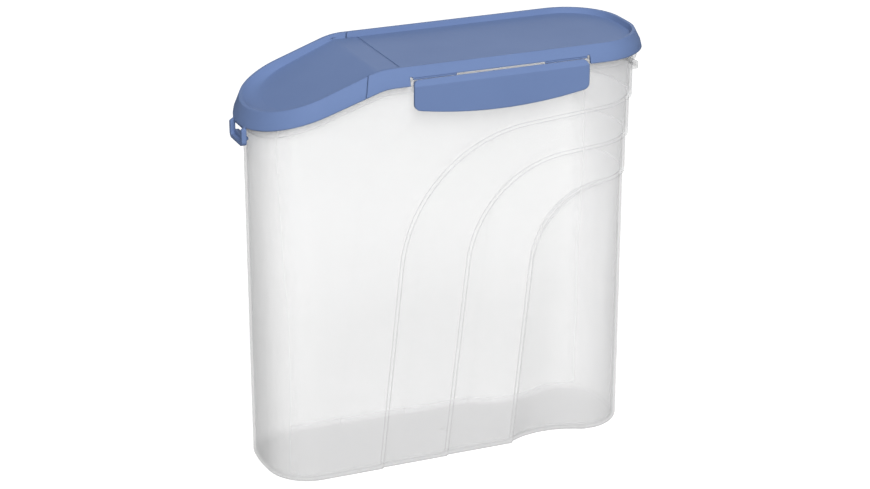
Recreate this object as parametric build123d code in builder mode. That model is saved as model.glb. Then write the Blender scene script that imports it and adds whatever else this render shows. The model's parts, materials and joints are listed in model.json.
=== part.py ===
from build123d import *
import os
from collections import namedtuple
from math import acos, atan2, cos, radians, sin, sqrt, tan

# Cereal container with a flip spout, in millimetres. +Z is up, the spout points along -X, and the
# origin is the centre of the tub's base, on the surface that it stands on.

# End is one end of a plan outline: a crown arc with two corner arcs. tip is its reach from the origin.
End = namedtuple("End", "tip half_width corner crown")

# --- tub wall: outer face at the base and at the height of the rim ---------------------------------
base_front = End(114.9, 36.1, 26.8, 107.6)
base_rear = End(118.9, 36.1, 28.4, 83.3)
top_front = End(116.4, 37.6, 29.7, 78.0)
top_rear = End(120.4, 37.6, 29.9, 85.0)

wall = 1.6
floor_thickness = 2.0
bottom_round = 4.0          # outer rounding where the wall meets the base
gate_x = 4.0                # moulding gate mark, on the inside of the base
gate_radius = 2.2
gate_height = 0.6

# --- stepped side panels ---------------------------------------------------------------------------
# Each step starts at the base, leans back on its way up, turns through a corner and runs to the
# rear, where it wraps round the end. Everything behind and below a step is set in by its depth.
Step = namedtuple("Step", "depth foot_x corner_x corner_z radius")
steps = (
    Step(1.5, -50.0, -28.8, 198.8, 86.0),
    Step(1.4, -8.0, 12.3, 178.4, 67.0),
    Step(1.1, 35.3, 51.9, 158.0, 50.0),
)
step_rise = 0.08            # rise of a step's upper run for each mm to the rear
step_flank = 1.4            # how far the inside of a step lies ahead of its outside

# --- finger dish in the last panel, on both sides --------------------------------------------------
dish_depth = 7.0            # at the base, falling to nothing at dish_top
dish_share = 0.97           # of that depth, taken by the hollow and the round shoulders beside it
dish_radius = 45.0          # of its hollow, at the base
shoulder_radius = 14.0      # at the base
shoulder_exit = 4.0         # degrees between the shoulders' ends and the wall, both sides together
dish_foot_x = 60.0          # dish centre line at the base
dish_lean = 0.104           # its lean to the rear for each mm of height
dish_top = 190.0            # height at which it would run out, above the last step's line

# --- lines of the rim in side view: level behind a bend, falling towards the spout in front --------
Line2 = namedtuple("Line2", "level bend_x degrees radius")
rim_line = Line2(250.0, -51.0, 19.4, 42.0)      # top of the lid's rim
panel_line = Line2(246.9, -50.5, 21.6, 39.0)    # top of the lid's recessed panel
hem_line = Line2(239.65, -49.2, 18.0, 32.0)     # lower edge of the lid's skirt
band_line = Line2(234.3, -47.8, 17.8, 28.0)     # lower edge of the tub's rim band

# --- tub rim and rear ear --------------------------------------------------------------------------
band_reach = 2.0            # rolled band round the rim, outwards from the wall
band_wall = 1.0
band_height = 8.4
rest_gap = 0.3              # between the tub's top edge and the lid panel above it
ear_half_width = 13.0
ear_reach = 5.2             # from the wall
ear_top = 226.0
ear_plate = 1.5
ear_drop = 3.6              # full height of its turned-down lip
ear_lip = 1.2
ear_corner = 3.0

# --- lid: outlines at the top of the rim, at the break of the skirt and below its hem --------------
# The nose outlines are measured along the slope, from the end of the bend.
lid_rear = End(120.8, 40.2, 33.5, 240.0)
Ring = namedtuple("Ring", "depth growth nose")
lid_rings = (
    Ring(0.0, 0.0, End(65.0, 40.2, 35.0, 47.0)),
    Ring(6.6, 3.3, End(70.9, 43.5, 39.5, 49.0)),
    Ring(12.0, 4.6, End(73.9, 44.8, 41.0, 50.0)),
)
skirt_wall = 1.5
rim_wall = 1.6              # under the rim's inner face
rim_channel = 2.4           # depth where the channel under the rim starts
land = 1.8                  # flat top of the rim
bevel_lean = 0.4            # inward run of the rim's inner face for each mm of depth
scoop_run = 10.5            # inward run of that face at the nose, where it is a hollow arc
scoop_depth = 5.3           # depth at which the arc is level
bowl_overlap = 0.2
bevel_end = 11.0            # depth down to which that face is drawn, before the panel closes it
panel_thickness = 1.8
plug_gap = 2.0              # between the tub's inner face and the plug rib
plug_wall = 1.3
plug_height = 3.5

# --- spout cuts ------------------------------------------------------------------------------------
spout_axis_x = -35.7        # hinge groove across the level panel
groove_width = 1.2
seam_x = -57.9              # seam across the rim, at its top
seam_lean = 14.8            # degrees by which the seam leans forward going down
seam_gap = 0.4
tongue_half_width = 36.6    # spout panel between the seam and the groove
slit_width = 0.7            # on both sides of it
lip_end_x = -41.5           # the tongue takes a lip of the rim with it, from the seam to here at the top
rail_top = 0.8              # top of the rim that is left outside the lip's slit
web_thickness = 0.35
web_sink = 0.25             # top of the web below the panel
web_play = 0.02             # between the web's end and the spout, so that it turns freely

# --- pull loop under the spout's nose --------------------------------------------------------------
loop_face_x = -124.2
loop_half_width = 11.0
loop_depth = 2.9            # of its side bars
loop_top = 217.3
loop_shoulder = 2.6         # fall of its sloping top to the front
loop_slope = 0.81           # rise of that top for each mm to the rear
loop_bottom = 205.1
loop_corner = 3.0
loop_root = 0.7             # reach of the side bars into the skirt
pocket_depth = 2.0          # hollow between the bars, from the front
pocket_half_width = 8.6
pocket_bottom = 207.3
pocket_corner = 1.2
window_top = 214.6          # the window through the hollow
catch_top = 209.8           # shelf below it, whose hook points to the tub
catch_tip_x = -119.5
catch_height = 1.2

# --- side clips ------------------------------------------------------------------------------------
clip_centre_x = 21.5
clip_half_length = 54.5
clip_low = 220.6            # lowest point of its curved lower edge
clip_edge_radius = 290.0
clip_corner = 4.0
clip_end_gap = 1.6          # between the clip's ends and the skirt
clip_thickness = 1.8
clip_shoulder_z = 239.6     # where its sloping upper band turns into the upright face
clip_face_y = 46.2
hinge_gap = 1.0            # open height between skirt and clip, bridged by the webs
clip_slot = (-6.2, 48.9)    # the open slot between the two webs
clip_web_thickness = 0.4
clip_web_play = 0.05        # between the webs and the clip below them
notch_height = 0.6          # relief in the skirt above both gaps at the clip's ends
clip_web_inset = 0.3        # between the clip's ends and the webs' ends
hook_clear = 0.35           # between the hook rib's tip and the rim band's outer face
hook_gap = 0.25             # below the rim band's lower edge
hook_height = 1.6
hook_half_length = 41.0

# --- derived places --------------------------------------------------------------------------------
rim_top = rim_line.level
reach = 0.8 * rim_top       # longer than half the container, for cutting tools
slope = radians(rim_line.degrees)
bend_start_x = rim_line.bend_x + rim_line.radius * tan(slope / 2)
bend_centre_z = rim_top - rim_line.radius
bend_axis = Axis((bend_start_x, 0, bend_centre_z), (0, -1, 0))
bend_end = (bend_start_x - rim_line.radius * sin(slope), 0, bend_centre_z + rim_line.radius * cos(slope))
slope_plane = Plane(origin=bend_end, x_dir=(cos(slope), 0, sin(slope)), z_dir=(-sin(slope), 0, cos(slope)))
hinge_z = rim_top - lid_rings[1].depth
skirt_lean = lid_rings[1].growth / lid_rings[1].depth
skirt_foot_z = hinge_z + hinge_gap / 2
clip_top_z = hinge_z - hinge_gap / 2
clip_top_y = lid_rear.half_width + skirt_lean * (rim_top - clip_top_z)
clip_axis_y = lid_rear.half_width + skirt_lean * (rim_top - skirt_foot_z) + clip_web_thickness / 4
band_face_y = top_rear.half_width + band_reach


def grow(end, amount):
    return End(*(value + amount for value in end))


def end_lines(end, side):
    """Draws one end of a plan outline and returns its side points, the +Y one first.

    side is 1 for an end that points along +X and -1 for one that points along -X."""
    crown_x = end.tip - end.crown
    lift = end.half_width - end.corner
    corner_x = crown_x + sqrt((end.crown - end.corner) ** 2 - lift**2)
    turn = atan2(lift, corner_x - crown_x)
    middle = (radians(90) + turn) / 2

    def at(x, y):
        return (side * x, y)

    start = at(corner_x, end.half_width)
    bulge = at(corner_x + end.corner * cos(middle), lift + end.corner * sin(middle))
    join = at(crown_x + end.crown * cos(turn), end.crown * sin(turn))
    ThreePointArc(start, bulge, join)
    ThreePointArc(join, at(end.tip, 0), (join[0], -join[1]))
    ThreePointArc((join[0], -join[1]), (bulge[0], -bulge[1]), (start[0], -start[1]))
    return start, (start[0], -start[1])


def plan(plane, front, rear):
    """Plan outline with a round end at the front and one at the rear, as a face."""
    with BuildSketch(plane) as face:
        with BuildLine():
            rear_left, rear_right = end_lines(rear, 1)
            front_left, front_right = end_lines(front, -1)
            Line(rear_left, front_left)
            Line(rear_right, front_right)
        make_face()
    return face.sketch


def half_plan(plane, end, side, straight_x):
    """Plan outline with one round end, closed by a straight line across at straight_x."""
    with BuildSketch(plane) as face:
        with BuildLine():
            left, right = end_lines(end, side)
            Polyline(left, (straight_x, left[1]), (straight_x, right[1]), right)
        make_face()
    return face.sketch


def side_prism(line, above, drop=0.0):
    """Everything above, or below, a line of the rim that is lowered by drop."""
    level = line.level - drop
    bend_x = line.bend_x + drop * tan(radians(line.degrees / 2))
    nose_z = level - (reach + bend_x) * tan(radians(line.degrees))
    far_z = 2 * reach if above else -reach
    with BuildPart() as prism:
        with BuildSketch(Plane.XZ) as side:
            Polygon(
                (reach, far_z),
                (reach, level),
                (bend_x, level),
                (-reach, nose_z),
                (-reach, far_z),
                align=None,
            )
            fillet(side.vertices().sort_by_distance((bend_x, 0, level))[0], line.radius - drop)
        extrude(amount=reach, both=True)
    return prism.part


# --- tub -------------------------------------------------------------------------------------------
def dish_plan(z, panel_y, growth):
    """Plan outline of the finger dish at height z in a panel at panel_y, grown by growth.

    A hollow arc with a round shoulder on each side, open outwards. It flattens upwards at equal width."""
    left = 1 - z / dish_top
    depth = dish_depth * left
    hollow = dish_radius / left
    shoulder = shoulder_radius / left
    shallow = radians(shoulder_exit)
    steep = acos(1 - (dish_share * depth + shoulder * (1 - cos(shallow))) / (hollow + shoulder))
    hollow += growth
    shoulder -= growth
    foot = (0, -growth)
    turn = (hollow * sin(steep), hollow * (1 - cos(steep)) - growth)

    def on_shoulder(angle):
        x = turn[0] + shoulder * (sin(steep) - sin(angle))
        return (x, turn[1] + shoulder * (cos(angle) - cos(steep)))

    leave = on_shoulder(shallow / 2)
    far = (reach, leave[1] + (reach - leave[0]) * tan(shallow / 2))
    with BuildSketch(Plane((dish_foot_x + dish_lean * z, panel_y - depth, z))) as face:
        with BuildLine():
            ThreePointArc(foot, (hollow * sin(steep / 2), hollow * (1 - cos(steep / 2)) - growth), turn)
            ThreePointArc(turn, on_shoulder((2 * steep + shallow) / 4), leave)
            Polyline(leave, far, (0, far[1]), foot)
        make_face()
        mirror(about=Plane.YZ)
    return face.sketch


def dish_cutters(panel_y, low, growth, foot_round):
    """Both finger dishes as cutting solids: leaning hollows that flatten upwards, rounded at the foot."""
    plans = []
    for share in (0, 0.08, 0.3, 0.6, 1):
        flare = foot_round - sqrt(foot_round**2 - (foot_round - share * foot_round) ** 2)
        plans.append(dish_plan(low + share * foot_round, panel_y, growth + flare))
    for share in (0.15, 0.3, 0.45, 0.6, 0.75, 0.86):
        plans.append(dish_plan(share * dish_top, panel_y, growth))
    with BuildPart() as cutters:
        loft(plans, ruled=True)
        mirror(about=Plane.XZ)
    return cutters.part


def tub_form(inset, low, bottom_radius):
    """The tub's plain wall surface as a solid, set in by inset and starting at the height low."""

    def at_low(base, top):
        return End(*(b + (t - b) * low / rim_top - inset for b, t in zip(base, top)))

    lower = plan(Plane.XY.offset(low), at_low(base_front, top_front), at_low(base_rear, top_rear))
    upper = plan(Plane.XY.offset(rim_top), grow(top_front, -inset), grow(top_rear, -inset))
    with BuildPart() as form:
        loft([lower, upper], ruled=True)
        fillet(form.edges().group_by(Axis.Z)[0], bottom_radius)
    return form.part


def step_zone(step, margin):
    """Everything behind and below a step's line, grown by margin, as a prism across the tub."""
    lean = (step.corner_x - step.foot_x) / step.corner_z
    end_z = step.corner_z + step_rise * (reach - step.corner_x)
    with BuildPart() as zone:
        with BuildSketch(Plane.XZ) as side:
            Polygon(
                (step.foot_x - lean * reach, -reach),
                (step.corner_x, step.corner_z),
                (reach, end_z),
                (reach, -reach),
                align=None,
            )
            fillet(side.vertices().sort_by_distance((step.corner_x, 0, step.corner_z))[0], step.radius)
            if margin:
                offset(amount=margin, kind=Kind.INTERSECTION, mode=Mode.REPLACE)
        extrude(amount=reach, both=True)
    return zone.part


def stepped_form(inset, low, bottom_radius):
    """The tub's wall surface with its steps and, in the last panel, its dishes, set in by inset."""
    depth = 0
    cutters = []
    for step in steps:
        depth += step.depth
        with BuildPart() as cutter:
            add(step_zone(step, step_flank if inset else 0))
            zone = cutter.part
            add(tub_form(inset + depth, low, bottom_radius), mode=Mode.SUBTRACT)
        cutters.append(cutter.part)
    with BuildPart() as dishes:
        add(zone)
        add(dish_cutters(base_front.half_width - depth, low, inset, bottom_radius), mode=Mode.INTERSECT)
    with BuildPart() as form:
        add(tub_form(inset, low, bottom_radius))
        for cutter in (*cutters, dishes.part):
            add(cutter, mode=Mode.SUBTRACT)
    return form.part


def rim_plan(growth):
    """The tub's plan outline at the rim, grown by growth, as a face below the rim."""
    return plan(Plane.XY.offset(rim_top / 2), grow(top_front, growth), grow(top_rear, growth))


def rim_ring(growth, lowest, highest):
    """Solid with the rim's plan outline grown by growth, between two heights along the band line."""
    with BuildPart() as ring:
        extrude(rim_plan(growth), reach)
        add(side_prism(band_line, True, -lowest), mode=Mode.INTERSECT)
        add(side_prism(band_line, False, -highest), mode=Mode.INTERSECT)
    return ring.part


print("tub")
with BuildPart() as band:
    add(rim_ring(band_reach, 0, band_height))
    add(rim_ring(band_reach - band_wall, -1, band_height - band_wall), mode=Mode.SUBTRACT)

ear_tip_x = top_rear.tip + ear_reach
with BuildPart() as ear:
    for inset, top, mode in ((0, ear_top, Mode.ADD), (ear_lip, ear_top - ear_plate, Mode.SUBTRACT)):
        ear_width = 2 * (ear_half_width - inset)
        with BuildSketch(Plane.XY.offset(top)) as tab:
            with Locations((ear_tip_x - inset, 0)):
                Rectangle(ear_reach + 2 * wall, ear_width, align=(Align.MAX, Align.CENTER))
            fillet(tab.vertices().group_by(Axis.X)[-1], ear_corner - inset)
        extrude(amount=-ear_drop, mode=mode)

with BuildPart() as tub:
    add(stepped_form(0, 0, bottom_round))
    add(band.part)
    add(ear.part)
    add(side_prism(panel_line, False, panel_thickness + rest_gap), mode=Mode.INTERSECT)
    add(stepped_form(wall, floor_thickness, bottom_round - wall), mode=Mode.SUBTRACT)
    with Locations((gate_x, 0, floor_thickness - gate_height)):
        Cylinder(gate_radius, 2 * gate_height, align=(Align.CENTER, Align.CENTER, Align.MIN))


# --- lid moulding ----------------------------------------------------------------------------------
def lid_stack(rings):
    """Solid through the lid's outlines: a level part, a bend and the sloping nose.

    rings holds, for each depth below the top of the rim, the rear end and the nose end."""
    with BuildPart() as stack:
        top = Plane.XY.offset(rim_top)
        loft([half_plan(top.offset(-depth), rear, 1, bend_start_x) for depth, rear, _ in rings], ruled=True)
        loft([half_plan(slope_plane.offset(-depth), nose, -1, 0) for depth, _, nose in rings], ruled=True)
        with BuildSketch(Plane(origin=(bend_start_x, 0, rim_top), x_dir=(0, 1, 0), z_dir=(1, 0, 0))):
            left = [(rear.half_width, -depth) for depth, rear, nose in rings]
            right = [(-rear.half_width, -depth) for depth, rear, nose in reversed(rings)]
            Polygon(*left, *right, align=None)
        revolve(axis=bend_axis, revolution_arc=rim_line.degrees)
    return stack.part


def skirt_form(inset):
    """The lid's outer shape, set in by inset."""
    return lid_stack(
        [(ring.depth, grow(lid_rear, ring.growth - inset), grow(ring.nose, -inset)) for ring in lid_rings]
    )


def nose_run(depth):
    """Inward run of the recess's wall at the nose, a hollow arc that turns level at scoop_depth."""
    radius = (scoop_run**2 + scoop_depth**2) / (2 * scoop_depth)
    left = max(scoop_depth - depth, 0)
    return scoop_run - sqrt(radius**2 - (radius - left) ** 2)


def well_form(start, wall_side, wall_below):
    """The recess inside the rim from the depth start, grown by a wall at its sides and one below it."""
    rings = []
    shares = (0.25, 0.5, 0.75, 0.9, 1)
    for depth in (start, *(wall_below + share * scoop_depth for share in shares), bevel_end):
        inset = land + bevel_lean * depth - wall_side * sqrt(1 + bevel_lean**2)
        nose = grow(lid_rings[0].nose, -inset)
        nose = nose._replace(tip=lid_rings[0].nose.tip - land - nose_run(depth - wall_below))
        rings.append((depth, grow(lid_rear, -inset), nose))
    return lid_stack(rings)


print("lid")
with BuildPart() as plug:
    for inset, mode in ((wall + plug_gap, Mode.ADD), (wall + plug_gap + plug_wall, Mode.SUBTRACT)):
        extrude(rim_plan(-inset), reach, mode=mode)
    add(side_prism(panel_line, True, panel_thickness + plug_height), mode=Mode.INTERSECT)
    add(side_prism(panel_line, False, panel_thickness / 2), mode=Mode.INTERSECT)

with BuildPart() as well:
    add(well_form(-rim_wall, 0, 0))
    add(side_prism(panel_line, True), mode=Mode.INTERSECT)

with BuildPart() as bowl:
    add(well_form(rim_channel - bowl_overlap, rim_wall, panel_thickness))
    add(side_prism(panel_line, True, panel_thickness), mode=Mode.INTERSECT)

with BuildPart() as hollow:
    add(skirt_form(skirt_wall))
    add(side_prism(rim_line, False, rim_channel), mode=Mode.INTERSECT)
    add(bowl.part, mode=Mode.SUBTRACT)

with BuildPart() as lid:
    add(skirt_form(0))
    add(side_prism(hem_line, True), mode=Mode.INTERSECT)
    add(hollow.part, mode=Mode.SUBTRACT)
    add(well.part, mode=Mode.SUBTRACT)
    add(plug.part)


# --- cuts that divide the lid into its moving panels -----------------------------------------------
def seam_at(z, ahead):
    """Point of the seam plane at height z, moved forward by ahead."""
    return (seam_x - ahead - (rim_top - z) * tan(radians(seam_lean)), z)


def seam_prism(ahead, rear_x, half_width):
    """Block from the seam plane, moved forward by ahead, back to rear_x."""
    high = rim_top + rim_channel
    low = rim_top - 2 * lid_rings[-1].depth
    with BuildPart() as block:
        with BuildSketch(Plane.XZ):
            Polygon(seam_at(high, ahead), (rear_x, high), (rear_x, low), seam_at(low, ahead), align=None)
        extrude(amount=half_width, both=True)
    return block.part


def lip_prism(play):
    """Block in which the tongue's lip lies, grown by play. Its rear end is round about the spout's axis."""
    radius = sqrt((lip_end_x - spout_axis_x) ** 2 + (rim_top - spout_axis_z) ** 2) - play
    with BuildPart() as block:
        add(seam_prism(seam_gap, lip_end_x + play, lip_half_width + play))
        with Locations((spout_axis_x, 0, spout_axis_z)):
            Cylinder(radius, 2 * reach, rotation=(90, 0, 0), mode=Mode.SUBTRACT)
    return block.part


spout_axis_z = panel_line.level - web_sink - web_thickness / 2
groove_front_x = spout_axis_x - groove_width / 2
groove_rear_x = spout_axis_x + groove_width / 2
lip_half_width = lid_rear.half_width - rail_top - slit_width
with BuildPart() as rear_block:
    add(seam_prism(-seam_gap / 2, reach, reach))
    add(seam_prism(seam_gap, groove_rear_x, tongue_half_width + slit_width), mode=Mode.SUBTRACT)
    add(lip_prism(slit_width), mode=Mode.SUBTRACT)

with BuildPart() as clip_windows:
    for side, align in ((1, Align.MIN), (-1, Align.MAX)):
        with Locations((clip_centre_x, side * (clip_axis_y - 1.5 * skirt_wall), skirt_foot_z)):
            Box(2 * (clip_half_length + clip_end_gap), reach, reach, align=(Align.CENTER, align, Align.MAX))
            for end in (-1, 1):
                with Locations((end * (clip_half_length + clip_end_gap / 2), 0, notch_height)):
                    Box(clip_end_gap, reach, reach, align=(Align.CENTER, align, Align.MAX))

with BuildPart() as lid_cover:
    add(lid.part)
    add(rear_block.part, mode=Mode.INTERSECT)
    add(clip_windows.part, mode=Mode.SUBTRACT)

print("spout")
loop_plane = Plane(origin=(loop_face_x, 0, 0), x_dir=(0, 1, 0), z_dir=(1, 0, 0))
loop_back_x = loop_face_x + loop_depth
bar_middle_y = (loop_half_width + pocket_half_width) / 2
bar_width = loop_half_width - pocket_half_width
with BuildPart() as loop:
    with BuildSketch(loop_plane) as outline:
        with Locations((0, loop_bottom)):
            Rectangle(2 * loop_half_width, loop_top - loop_bottom, align=(Align.CENTER, Align.MIN))
        fillet(outline.vertices().group_by(Axis.Z)[0], loop_corner)
    extrude(amount=loop_depth)
    with BuildSketch(loop_plane) as pocket:
        with Locations((0, pocket_bottom)):
            Rectangle(2 * pocket_half_width, loop_top - loop_bottom, align=(Align.CENTER, Align.MIN))
        fillet(pocket.vertices().group_by(Axis.Z)[0], pocket_corner)
    extrude(amount=pocket_depth, mode=Mode.SUBTRACT)
    with BuildSketch(loop_plane):
        with Locations((0, catch_top)):
            Rectangle(2 * pocket_half_width, window_top - catch_top, align=(Align.CENTER, Align.MIN))
    extrude(amount=loop_depth, mode=Mode.SUBTRACT)
    with Locations((loop_back_x, bar_middle_y, loop_top), (loop_back_x, -bar_middle_y, loop_top)):
        Box(2 * loop_root, bar_width, catch_height, align=(Align.CENTER, Align.CENTER, Align.MAX))
    with BuildSketch(Plane.XZ):
        Polygon(
            (loop_back_x, catch_top),
            (catch_tip_x, catch_top),
            (catch_tip_x, catch_top - catch_height),
            (loop_back_x, pocket_bottom),
            align=None,
        )
    extrude(amount=pocket_half_width, both=True)
    with BuildSketch(Plane.XZ):
        front_top = loop_top - loop_shoulder
        rear_x = loop_face_x + 2 * loop_depth
        Polygon(
            (loop_face_x, front_top),
            (rear_x, front_top + 2 * loop_depth * loop_slope),
            (loop_face_x, 2 * loop_top - front_top),
            align=None,
        )
    extrude(amount=loop_half_width, both=True, mode=Mode.SUBTRACT)

with BuildPart() as tongue_block:
    add(seam_prism(seam_gap, groove_front_x, tongue_half_width))
    add(lip_prism(0))
with BuildPart() as tongue:
    add(lid.part)
    add(tongue_block.part, mode=Mode.INTERSECT)
with BuildPart() as flip_spout:
    add(lid.part)
    add(seam_prism(seam_gap / 2, reach, reach), mode=Mode.SUBTRACT)
    add(tongue.part)
    add(loop.part)

with BuildPart() as spout_hinge:
    with Locations((groove_front_x + web_play, 0, panel_line.level - web_sink)):
        Box(
            groove_width - web_play,
            2 * tongue_half_width,
            web_thickness,
            align=(Align.MIN, Align.CENTER, Align.MAX),
        )

# --- side clips ------------------------------------------------------------------------------------
print("clips")
hook_top = band_line.level - hook_gap
with BuildPart() as right_clip:
    with BuildSketch(Plane.YZ.offset(clip_centre_x - clip_half_length)):
        with BuildLine():
            Polyline((clip_top_y, clip_top_z), (clip_face_y, clip_shoulder_z), (clip_face_y, clip_low - 1))
            offset(amount=clip_thickness, side=Side.RIGHT)
        make_face()
    extrude(amount=2 * clip_half_length)
    with BuildSketch(Plane.XZ) as outline:
        with Locations((clip_centre_x, clip_low)):
            Rectangle(2 * clip_half_length, clip_top_z - clip_low, align=(Align.CENTER, Align.MIN))
        with Locations((clip_centre_x, clip_low + clip_edge_radius)):
            Circle(clip_edge_radius, mode=Mode.INTERSECT)
        fillet(outline.vertices().group_by(Axis.Z)[0], clip_corner)
    extrude(amount=-reach, mode=Mode.INTERSECT)
    hook_tip_y = band_face_y + hook_clear
    hook_root_y = clip_face_y - clip_thickness / 2
    with BuildSketch(Plane.YZ.offset(clip_centre_x - hook_half_length)):
        Polygon(
            (hook_tip_y, hook_top),
            (hook_root_y, hook_top),
            (hook_root_y, hook_top - 2 * hook_height),
            (hook_tip_y, hook_top - hook_height),
            align=None,
        )
    extrude(amount=2 * hook_half_length)

with BuildPart() as right_clip_hinges:
    slot_start, slot_end = clip_slot
    for start, end in (
        (clip_centre_x - clip_half_length + clip_web_inset, slot_start),
        (slot_end, clip_centre_x + clip_half_length - clip_web_inset),
    ):
        with Locations((start, clip_axis_y, skirt_foot_z)):
            Box(
                end - start,
                clip_web_thickness,
                hinge_gap - clip_web_play,
                align=(Align.MIN, Align.CENTER, Align.MAX),
            )

with BuildPart() as left_clip:
    mirror(right_clip.part, about=Plane.XZ)
with BuildPart() as left_clip_hinges:
    mirror(right_clip_hinges.part, about=Plane.XZ)

os.makedirs("parts", exist_ok=True)
for name, piece in (
    ("tub", tub),
    ("lid_cover", lid_cover),
    ("flip_spout", flip_spout),
    ("left_clip", left_clip),
    ("right_clip", right_clip),
    ("spout_hinge", spout_hinge),
    ("left_clip_hinges", left_clip_hinges),
    ("right_clip_hinges", right_clip_hinges),
):
    piece.part.label = name
    export_step(piece.part, f"parts/{name}.step")
    box = piece.part.bounding_box()
    print(name, "solids", len(piece.part.solids()), "volume", round(piece.part.volume, 1), box.min, box.max)
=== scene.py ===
import json
from math import radians

import bpy
from mathutils import Matrix, Vector

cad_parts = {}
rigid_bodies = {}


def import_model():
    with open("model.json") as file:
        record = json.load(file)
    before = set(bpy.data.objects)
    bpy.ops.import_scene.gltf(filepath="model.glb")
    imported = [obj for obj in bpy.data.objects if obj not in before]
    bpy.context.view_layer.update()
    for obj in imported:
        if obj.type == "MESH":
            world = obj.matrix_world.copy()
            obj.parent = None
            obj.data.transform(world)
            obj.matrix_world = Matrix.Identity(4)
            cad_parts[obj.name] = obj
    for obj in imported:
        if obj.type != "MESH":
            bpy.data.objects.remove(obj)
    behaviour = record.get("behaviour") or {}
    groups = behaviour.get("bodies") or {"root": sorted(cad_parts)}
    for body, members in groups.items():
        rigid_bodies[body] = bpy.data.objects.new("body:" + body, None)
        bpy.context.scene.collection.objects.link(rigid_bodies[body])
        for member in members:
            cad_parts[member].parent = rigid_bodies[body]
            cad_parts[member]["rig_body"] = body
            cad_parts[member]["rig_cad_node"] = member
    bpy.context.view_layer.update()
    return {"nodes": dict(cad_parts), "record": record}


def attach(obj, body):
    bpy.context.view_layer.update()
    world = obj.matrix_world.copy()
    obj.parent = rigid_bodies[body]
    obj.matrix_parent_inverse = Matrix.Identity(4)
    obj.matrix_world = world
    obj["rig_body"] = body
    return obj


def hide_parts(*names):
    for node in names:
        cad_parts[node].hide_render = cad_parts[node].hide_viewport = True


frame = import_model()
print("frame loaded")


def feed(slot, value):
    # a link from a wire, or else a fixed value
    if isinstance(value, Wire):
        slot.id_data.links.new(value.socket, slot)
    else:
        slot.default_value = value


# shader maths: a socket that adds Math nodes when it is used in an expression
class Wire:
    def __init__(self, socket):
        self.socket = socket

    def math(self, operation, *values):
        node = self.socket.id_data.nodes.new("ShaderNodeMath")
        node.operation = operation
        for slot, value in zip(node.inputs, values):
            feed(slot, value)
        return Wire(node.outputs[0])

    def __add__(self, other):
        return self.math("ADD", self, other)

    def __radd__(self, other):
        return self.math("ADD", other, self)

    def __sub__(self, other):
        return self.math("SUBTRACT", self, other)

    def __rsub__(self, other):
        return self.math("SUBTRACT", other, self)

    def __mul__(self, other):
        return self.math("MULTIPLY", self, other)

    def __rmul__(self, other):
        return self.math("MULTIPLY", other, self)

    def __truediv__(self, other):
        return self.math("DIVIDE", self, other)

    def swing(self, amount):
        # a noise from 0 to 1, taken about its mean and scaled to spread over amount
        return amount * (self - 0.5)

    def within(self, low, high):
        # 0 below low, 1 above high
        return self.math("MINIMUM", self.math("MAXIMUM", (self - low) / (high - low), 0.0), 1.0)


class Tree:
    def __init__(self, owner):
        owner.use_nodes = True
        self.tree = owner.node_tree
        self.tree.nodes.clear()

    def add(self, kind, settings=None, out=0, **sockets):
        # one node: its settings first, then values or links for its sockets, named with _ for a space
        node = self.tree.nodes.new(kind)
        for name, value in (settings or {}).items():
            setattr(node, name, value)
        for name, value in sockets.items():
            plain = name.replace("_", " ").strip()
            feed(next(s for s in node.inputs if s.enabled and s.name == plain), value)
        return Wire(node.outputs[out]) if node.outputs else node

    def mix(self, share, first, second):
        # two colours, the first at share 0 and the second at share 1, through the Mix node's colour sockets
        colour = self.add("ShaderNodeMix", {"data_type": "RGBA"}, out=2, Factor=share)
        for slot, value in zip(colour.socket.node.inputs[6:8], (first, second)):
            feed(slot, value)
        return colour

    def join(self, node, first, second):
        # two shaders into the last two sockets of a mix or add node
        for slot, value in zip(node.socket.node.inputs[-2:], (first, second)):
            feed(slot, value)


# what both plastics share: clouds of melt flow, a fine grain, and edges that look rounded
plasticSizes = {
    "index": 1.49,
    "flowDetail": 3.0,
    "flowRoughness": 0.5,
    "grainDetail": 2.0,
    "grainRoughness": 0.6,
    "grainHeight": 0.00002,
    "edgeSamples": 6,
}


def plasticSurface(t, sizes):
    # the place of a point, the clouds and the grain there, and its bumped direction
    shared = plasticSizes
    place = t.add("ShaderNodeTexCoord", out="Object")
    cloud = t.add(
        "ShaderNodeTexNoise",
        Vector=place,
        Scale=sizes["flow"],
        Detail=shared["flowDetail"],
        Roughness=shared["flowRoughness"],
    )
    grain = t.add(
        "ShaderNodeTexNoise",
        Vector=place,
        Scale=sizes["grain"],
        Detail=shared["grainDetail"],
        Roughness=shared["grainRoughness"],
    )
    soft = t.add("ShaderNodeBevel", {"samples": shared["edgeSamples"]}, Radius=sizes["edge"])
    bump = t.add(
        "ShaderNodeBump",
        Strength=sizes["grainStrength"],
        Distance=shared["grainHeight"],
        Height=grain,
        Normal=soft,
    )
    return place, cloud, grain, bump


# blue polypropylene of the lid, the spout and the clips
lidPlasticSizes = {
    "colour": (0.146, 0.213, 0.396, 1),
    "shade": (0.137, 0.201, 0.378, 1),
    "shadeFrom": (0.35, 0.65),    # cloud values between which the colour turns to the shade
    "roughness": 0.52,
    "flowGloss": 0.06,            # change of roughness with the flow
    "grainGloss": 0.05,           # and with the grain
    "shine": 0.05,
    "flow": 16.0,                 # clouds of melt flow for each metre
    "grain": 2600.0,              # grains for each metre
    "grainStrength": 0.25,
    "edge": 0.0009,               # rounding seen on every edge
}


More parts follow.
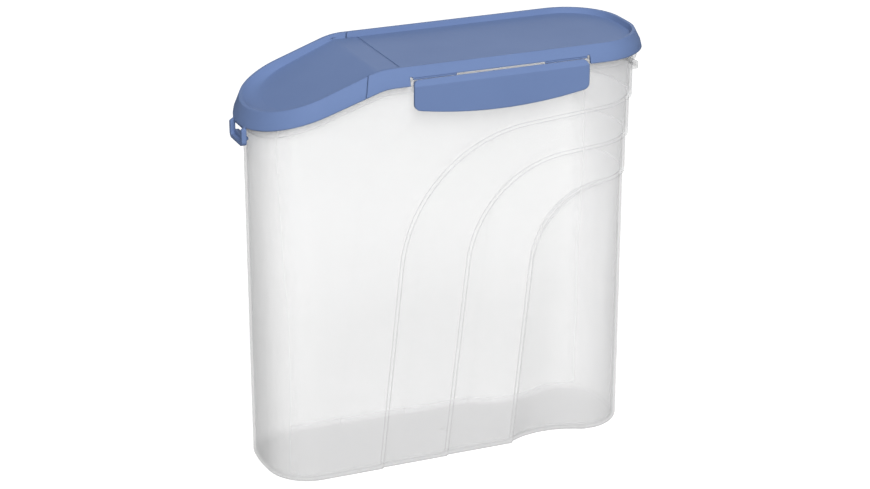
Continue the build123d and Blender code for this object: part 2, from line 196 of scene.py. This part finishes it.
def lidPlastic():
    sizes = lidPlasticSizes
    material = bpy.data.materials.new("lidPlastic")
    t = Tree(material)
    _, cloud, grain, bump = plasticSurface(t, sizes)
    gloss = cloud.swing(sizes["flowGloss"]) + grain.swing(sizes["grainGloss"])
    shader = t.add(
        "ShaderNodeBsdfPrincipled",
        Base_Color=t.mix(cloud.within(*sizes["shadeFrom"]), sizes["colour"], sizes["shade"]),
        Roughness=sizes["roughness"] + gloss,
        Normal=bump,
        IOR=plasticSizes["index"],
        Specular_IOR_Level=sizes["shine"],
    )
    t.add("ShaderNodeOutputMaterial", Surface=shader)
    return material


# milky clear polypropylene of the tub; a ray crosses two faces at every wall; painted shade darkens its
# base and its front and rear, and painted light brightens it near the rim
tubPlasticSizes = {
    "colour": (0.87, 0.87, 0.87, 1),
    # painted shade: the wall colour turns darker at the base
    "foot": (0.70, 0.70, 0.70, 1),
    "footHeight": 0.006,
    "footOpacity": 0.48,
    "opacity": 0.23,              # of each face half-way up
    "paintedRimLightOpacity": 0.16,           # of each face near the rim, lower so that the wall looks bright where the lid shades it: painted light
    "rim": (0.10, 0.22),          # heights between which the one turns into the other
    "paintedEndShadeOpacity": 0.42,           # of each face at the front and the rear end, higher so that the wall looks darker there: painted shade
    "end": (0.100, 0.122),        # distances from the middle between which the painted shade is reached
    "flowOpacity": 0.03,          # change of opacity with the flow
    "roughness": 0.40,
    "flowGloss": 0.08,
    "shine": 0.08,
    "flow": 14.0,
    "grain": 1800.0,
    "grainStrength": 0.2,
    "edge": 0.0007,
}


def tubPlastic():
    sizes = tubPlasticSizes
    material = bpy.data.materials.new("tubPlastic")
    t = Tree(material)
    place, cloud, _, bump = plasticSurface(t, sizes)
    height = t.add("ShaderNodeSeparateXYZ", out="Z", Vector=place)
    # 0 at the base and 1 above footHeight: below it the colour turns to the painted shade and the opacity
    #                                       to footOpacity
    rise = height.within(0.0, sizes["footHeight"])
    # opacity up the wall, lowered near the rim as painted light
    sideWithPaintedRimLight = sizes["opacity"] - (sizes["opacity"] - sizes["paintedRimLightOpacity"]) * height.within(*sizes["rim"])
    along = t.add("ShaderNodeSeparateXYZ", out="X", Vector=place)
    # 0 in the middle and 1 at the front and rear, where the painted shade darkens the wall
    end = along.math("ABSOLUTE", along).within(*sizes["end"])
    opacity = sideWithPaintedRimLight + (sizes["paintedEndShadeOpacity"] - sideWithPaintedRimLight) * end + cloud.swing(sizes["flowOpacity"])
    shader = t.add(
        "ShaderNodeBsdfPrincipled",
        Base_Color=t.mix(rise, sizes["foot"], sizes["colour"]),
        Roughness=sizes["roughness"] + cloud.swing(sizes["flowGloss"]),
        Alpha=sizes["footOpacity"] - (sizes["footOpacity"] - opacity) * rise,
        Normal=bump,
        IOR=plasticSizes["index"],
        Specular_IOR_Level=sizes["shine"],
    )
    t.add("ShaderNodeOutputMaterial", Surface=shader)
    return material


finishes = {"lid_plastic": lidPlastic(), "clear_plastic": tubPlastic()}
slotOf = {part["node"]: part["material_slot"] for part in frame["record"]["subparts"]}
print("materials made")


# pieces: each moulding is dressed over its CAD node
def pick(piece):
    bpy.ops.object.select_all(action="DESELECT")
    piece.select_set(True)
    bpy.context.view_layer.objects.active = piece


dressSizes = {
    "merge": 0.000002,        # distance within which points become one
    "smooth": 32.0,           # degrees at which an edge stays sharp
}


def dress(node, name):
    # a copy of the node with one skin and soft shading
    pick(frame["nodes"][node])
    bpy.ops.object.duplicate()
    piece = bpy.context.view_layer.objects.active
    piece.name = name
    piece.data.name = name
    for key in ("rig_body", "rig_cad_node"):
        if key in piece:
            del piece[key]
    bpy.ops.object.parent_clear(type="CLEAR_KEEP_TRANSFORM")
    bpy.ops.mesh.customdata_custom_splitnormals_clear()
    bpy.ops.object.mode_set(mode="EDIT")
    bpy.ops.mesh.select_all(action="SELECT")
    bpy.ops.mesh.remove_doubles(threshold=dressSizes["merge"])
    bpy.ops.object.mode_set(mode="OBJECT")
    bpy.ops.object.shade_smooth_by_angle(angle=radians(dressSizes["smooth"]))
    piece.data.materials.clear()
    piece.data.materials.append(finishes[slotOf[node]])
    body = next(b for b, members in frame["record"]["behaviour"]["bodies"].items() if node in members)
    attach(piece, body)
    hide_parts(node)


for node, name in (
    ("tub", "tubWall"),
    ("lid_cover", "lidCover"),
    ("flip_spout", "flipSpout"),
    ("left_clip", "leftClip"),
    ("right_clip", "rightClip"),
    ("spout_hinge", "spoutHinge"),
    ("left_clip_hinges", "leftClipHinges"),
    ("right_clip_hinges", "rightClipHinges"),
):
    dress(node, name)
print("pieces dressed")


# the photograph's camera
cameraSizes = {
    "target": (-0.00153, 0.0, 0.12427),
    "distance": 1.565,
    "azimuth": 22.752,        # degrees from -Y towards -X
    "elevation": 20.908,
    "roll": -0.0845,
    "focal": 2625.3,          # pixels, in a frame of this width
    "frameWidth": 870,
    "sensor": 36.0,           # millimetres
    "farthest": 20.0,
}


def aimCamera():
    sizes = cameraSizes
    turn = (
        Matrix.Rotation(-radians(sizes["azimuth"]), 3, "Z")
        @ Matrix.Rotation(radians(90 - sizes["elevation"]), 3, "X")
        @ Matrix.Rotation(radians(sizes["roll"]), 3, "Z")
    )
    data = bpy.data.cameras.new("camera")
    data.sensor_width = sizes["sensor"]
    data.lens = sizes["focal"] * data.sensor_width / sizes["frameWidth"]
    data.clip_end = sizes["farthest"]
    camera = bpy.data.objects.new("camera", data)
    camera.rotation_euler = turn.to_euler()
    camera.location = Vector(sizes["target"]) + turn @ Vector((0, 0, sizes["distance"]))
    bpy.context.scene.collection.objects.link(camera)
    bpy.context.scene.camera = camera


# a pale paper floor, white for the camera, a broad soft box at the near left and a weak one behind
stageSizes = {
    "floor": 8.0,
    "floorDrop": 0.0001,      # below the tub's base, so that the two faces never meet
    "floorColour": (0.50, 0.50, 0.50, 1),
    "floorGlow": 0.80,        # white that only the camera sees on the floor
    "white": (1, 1, 1, 1),
    "ambient": 0.17,
    "boxSize": 2.2,
    "boxDistance": 3.2,
    "keyFrom": (-0.24, -0.72, 0.66),
    "keyPower": 124.0,
    "fillFrom": (0.45, 0.88, 0.02),
    "fillPower": 18.0,
}


def buildStage():
    sizes = stageSizes
    bpy.ops.object.select_all(action="DESELECT")
    bpy.ops.mesh.primitive_plane_add(size=sizes["floor"], location=(0, 0, -sizes["floorDrop"]))
    floor = bpy.context.view_layer.objects.active
    floor.name = "floor"
    material = bpy.data.materials.new("floorPaper")
    t = Tree(material)
    seen = t.add("ShaderNodeLightPath", out="Is Camera Ray")
    paper = t.add("ShaderNodeBsdfDiffuse", Color=sizes["floorColour"])
    glow = t.add("ShaderNodeEmission", Color=sizes["white"], Strength=seen * sizes["floorGlow"])
    both = t.add("ShaderNodeAddShader")
    t.join(both, paper, glow)
    # seen from below, the floor is clear, so that it never hides the underside
    below = t.add("ShaderNodeNewGeometry", out="Backfacing")
    clear = t.add("ShaderNodeBsdfTransparent")
    oneWay = t.add("ShaderNodeMixShader", Fac=below)
    t.join(oneWay, both, clear)
    t.add("ShaderNodeOutputMaterial", Surface=oneWay)
    floor.data.materials.append(material)

    world = bpy.data.worlds.new("studio")
    bpy.context.scene.world = world
    t = Tree(world)
    rays = 0.0
    for kind in ("Is Camera Ray", "Is Glossy Ray", "Is Transmission Ray"):
        rays = rays + t.add("ShaderNodeLightPath", out=kind)
    shown = rays.math("MINIMUM", rays, 1.0)
    plain = t.add("ShaderNodeBackground", Color=sizes["white"], Strength=sizes["ambient"])
    white = t.add("ShaderNodeBackground", Color=sizes["white"], Strength=1.0)
    mixed = t.add("ShaderNodeMixShader", Fac=shown)
    t.join(mixed, plain, white)
    t.add("ShaderNodeOutputWorld", Surface=mixed)

    for name in ("key", "fill"):
        towards = Vector(sizes[name + "From"]).normalized()
        lamp = bpy.data.lights.new(name, "AREA")
        lamp.size = sizes["boxSize"]
        lamp.energy = sizes[name + "Power"]
        box = bpy.data.objects.new(name, lamp)
        box.location = towards * sizes["boxDistance"] + Vector((0, 0, cameraSizes["target"][2]))
        box.rotation_euler = towards.to_track_quat("Z", "Y").to_euler()
        bpy.context.scene.collection.objects.link(box)


aimCamera()
buildStage()
bpy.context.scene.view_settings.view_transform = "Standard"
print("camera and stage set")
